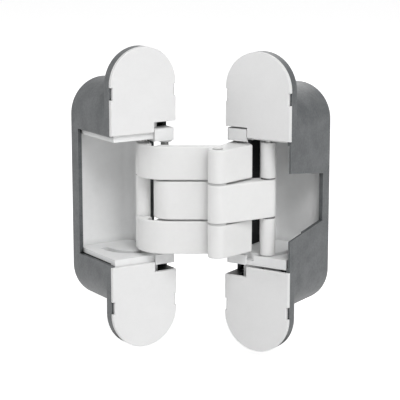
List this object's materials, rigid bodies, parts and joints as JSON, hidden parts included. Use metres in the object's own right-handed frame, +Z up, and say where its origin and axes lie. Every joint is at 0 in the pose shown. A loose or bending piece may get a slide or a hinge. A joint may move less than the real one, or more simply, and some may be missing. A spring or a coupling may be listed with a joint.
{
  "type": "concealed door hinge",
  "caption": "Concealed scissor hinge for a flush door: two housings with round-ended covers, joined by crossed arms that fold away when the door is shut.",
  "frame": {"origin": "middle of the frame plate's four fixing holes, at the back of the flange", "axes": "X along the frame plate towards its inner edge, Y into the frame, Z up"},
  "size_m": [0.0819, 0.066, 0.113],
  "materials": {
    "grey_zinc": "satin",
    "white_cover": "matte",
    "white_carriage": "satin",
    "white_arm": "satin",
    "steel": "satin",
    "grey_washer": "matte"
  },
  "bodies": {
    "frame_side": {"frame_housing": "grey_zinc", "frame_cover_upper": "white_cover", "frame_cover_lower": "white_cover", "frame_clamp_screws": "steel"},
    "frame_slider": {"frame_carriage": "white_carriage", "frame_pivot_pin": "steel"},
    "tongue": {"tongue_leaf": "white_arm", "door_guide_pin": "steel", "door_guide_sleeve_upper": "white_arm", "door_guide_sleeve_lower": "white_arm", "door_guide_washers": "grey_washer"},
    "fork": {"fork_leaf_upper": "white_arm", "fork_leaf_lower": "white_arm", "knuckle_pin": "steel", "knuckle_washers": "grey_washer", "frame_guide_pin": "steel", "frame_guide_sleeve": "white_arm"},
    "door_slider": {"door_carriage": "white_carriage", "door_pivot_pin": "steel"},
    "door_side": {"door_housing": "grey_zinc", "door_cover_upper": "white_cover", "door_cover_lower": "white_cover", "door_clamp_screws": "steel"}
  },
  "joints": [
    {"name": "frame_height_slide", "type": "slide", "parent": "frame_side", "child": "frame_slider", "axis": [0, 0, 1], "range_m": [-0.002, 0.002]},
    {"name": "tongue_pivot", "type": "hinge", "parent": "frame_slider", "child": "tongue", "pos_m": [0.0109, -0.001, 0], "axis": [0, 0, 1], "range_deg": [-69.69, 39.39]},
    {"name": "knuckle_pivot", "type": "hinge", "parent": "tongue", "child": "fork", "pos_m": [0.01843, -0.02501, 0], "axis": [0, 0, 1], "range_deg": [-20.5, 36.3]},
    {"name": "fork_pivot", "type": "hinge", "parent": "fork", "child": "door_slider", "pos_m": [0.03512, -0.01434, 0], "axis": [0, 0, 1], "range_deg": [-81.6, 46.2]},
    {"name": "door_height_slide", "type": "slide", "parent": "door_slider", "child": "door_side", "axis": [0, 0, 1], "range_m": [-0.00005, 0.00395]}
  ],
  "couplings": [
    {"joint": "knuckle_pivot", "follows": "tongue_pivot", "ratio": -0.5198},
    {"joint": "fork_pivot", "follows": "tongue_pivot", "ratio": 1.17}
  ]
}
